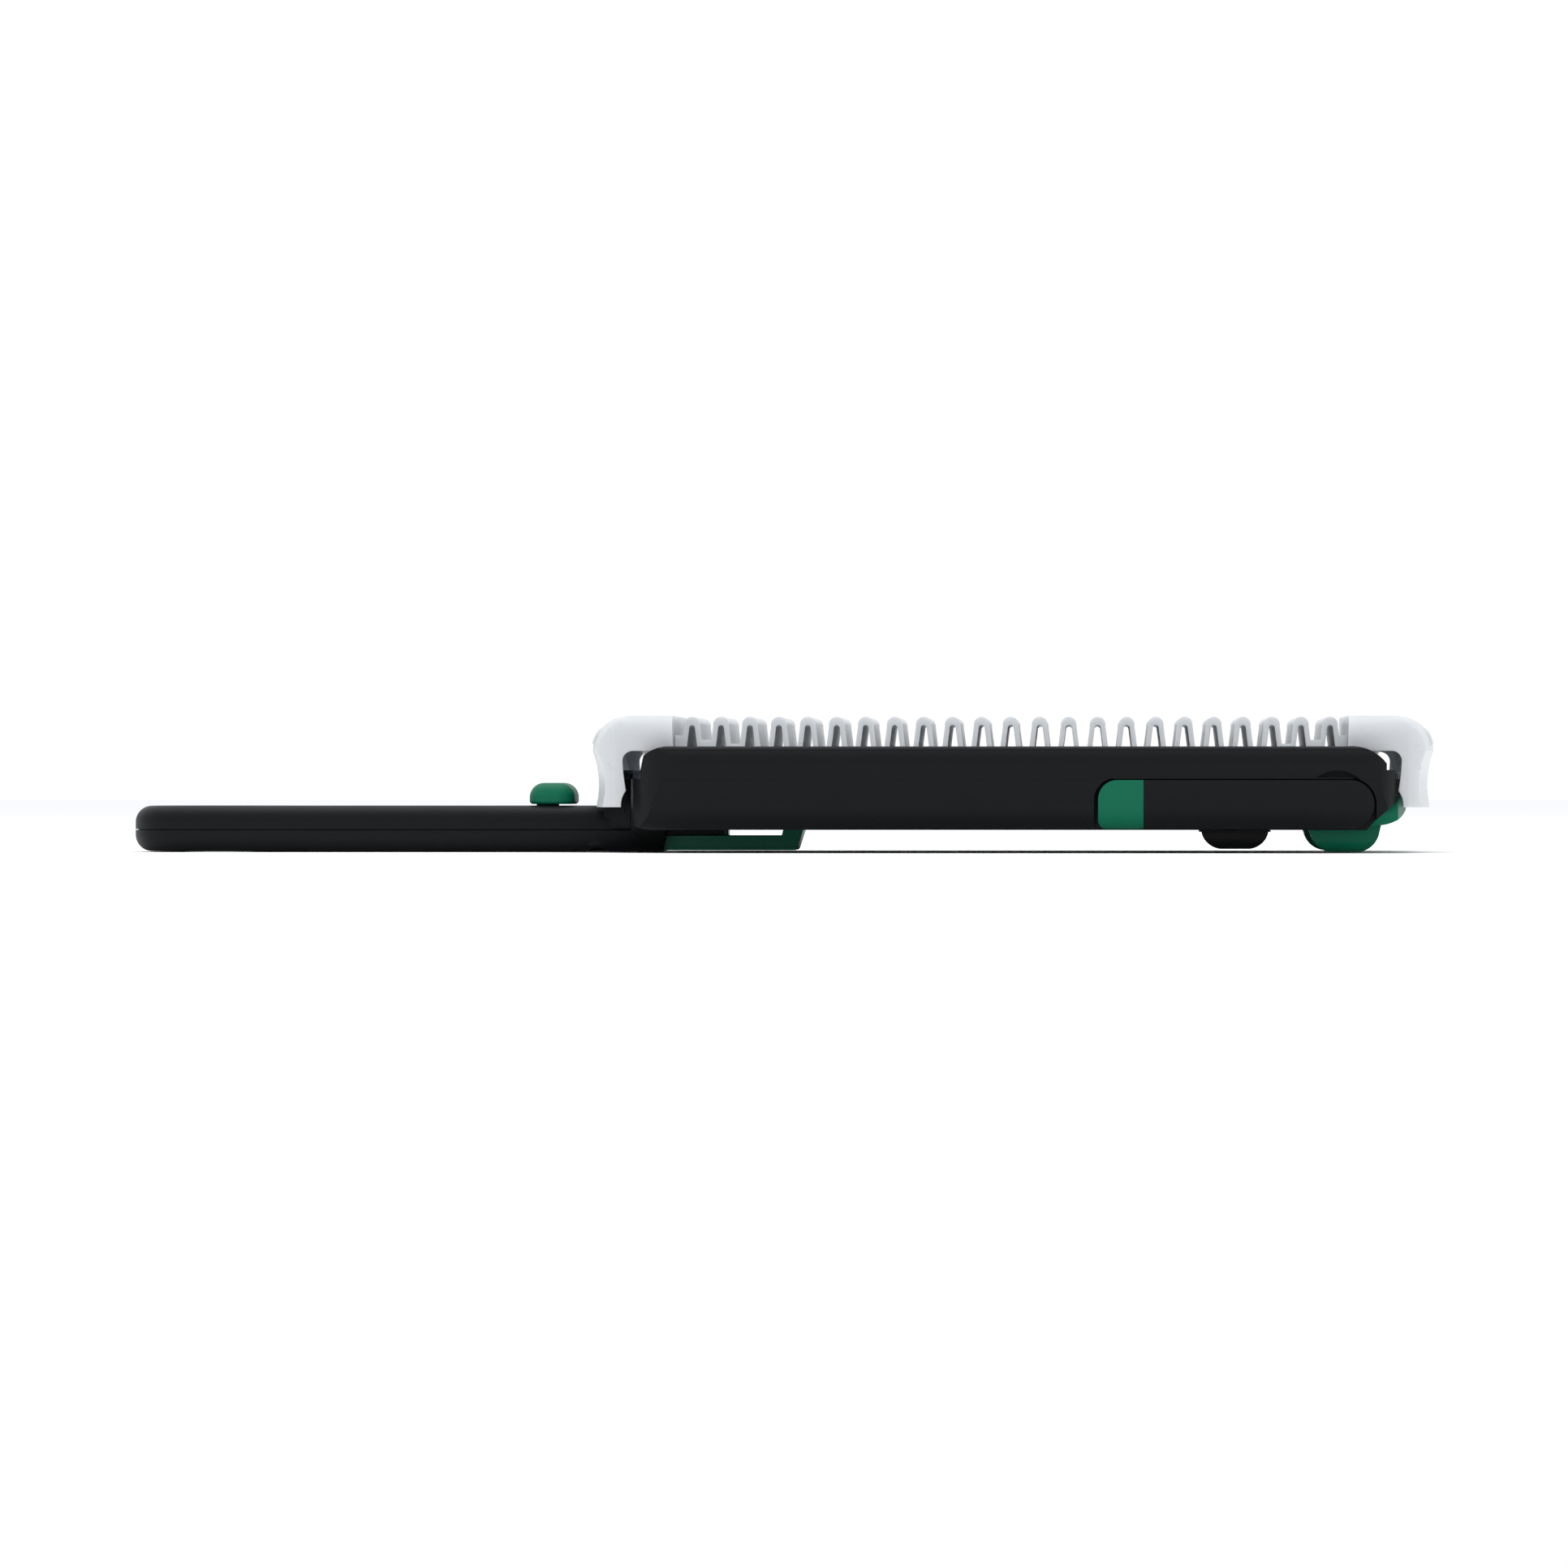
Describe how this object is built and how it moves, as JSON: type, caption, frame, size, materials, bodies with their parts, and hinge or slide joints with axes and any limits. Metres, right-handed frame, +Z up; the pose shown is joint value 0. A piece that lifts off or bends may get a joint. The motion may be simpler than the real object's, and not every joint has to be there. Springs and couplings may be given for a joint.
{
  "type": "mandoline slicer",
  "caption": "Handheld mandoline slicer with slanted blade, adjustable ramp, sliding thickness button, fold-out stand legs and lift-off translucent food guard.",
  "frame": {"origin": "on the table under the middle of the whole object's box", "axes": "+X from the handle towards the far end, +Z up, +Y to the left seen from the handle"},
  "size_m": [0.3304, 0.1084, 0.0342],
  "materials": {
    "body_black": "satin, fine moulded texture",
    "inner_black": "satin moulded",
    "deck_gloss": "polished gloss",
    "green_grip": "soft satin",
    "green_plastic": "satin moulded",
    "blade_steel": "fine brushed along the edge",
    "screw_steel": "plain turned",
    "bush_nylon": "smooth",
    "guard_clear": "translucent frosted"
  },
  "bodies": {
    "chassis": {"body_frame": "body_black", "handle_lower_cover": "body_black", "handle_screws": "screw_steel", "hang_ring": "green_grip", "deck_plate": "deck_gloss", "blade": "blade_steel", "blade_holder_left": "inner_black", "blade_holder_right": "inner_black", "blade_screws": "screw_steel", "nose_grip": "green_grip", "ramp_hinge_pin": "screw_steel", "stand_bushes": "bush_nylon"},
    "ramp": {"ramp_plate": "deck_gloss", "ramp_cam_pin": "screw_steel"},
    "slider": {"thickness_slider": "green_plastic", "thickness_button": "green_grip", "button_screw": "screw_steel", "detent_spring": "blade_steel"},
    "stand": {"stand_arm_left": "body_black", "stand_arm_right": "body_black", "stand_tip_left": "green_grip", "stand_tip_right": "green_grip", "stand_axle": "screw_steel"},
    "lock": {"stand_lock": "inner_black"},
    "guard": {"guard_frame": "guard_clear", "guard_comb": "guard_clear"}
  },
  "joints": [
    {"name": "button_slide", "type": "slide", "parent": "chassis", "child": "slider", "axis": [1, 0, 0], "range_m": [0, 0.008]},
    {"name": "ramp_hinge", "type": "hinge", "parent": "chassis", "child": "ramp", "pos_m": [-0.0275, 0, 0.016], "axis": [0, 1, 0], "range_deg": [-0.01, 2.75]},
    {"name": "stand_hinge", "type": "hinge", "parent": "chassis", "child": "stand", "pos_m": [0.1427, 0, 0.012], "axis": [0, -1, 0], "range_deg": [0, 95]},
    {"name": "lock_slide", "type": "slide", "parent": "chassis", "child": "lock", "axis": [1, 0, 0], "range_m": [0, 0.003]},
    {"name": "guard_lift", "type": "slide", "parent": "chassis", "child": "guard", "axis": [0, 0, 1], "range_m": [0, 0.1]}
  ],
  "couplings": [
    {"joint": "ramp_hinge", "follows": "button_slide", "rad_per_m": 5.8905}
  ]
}
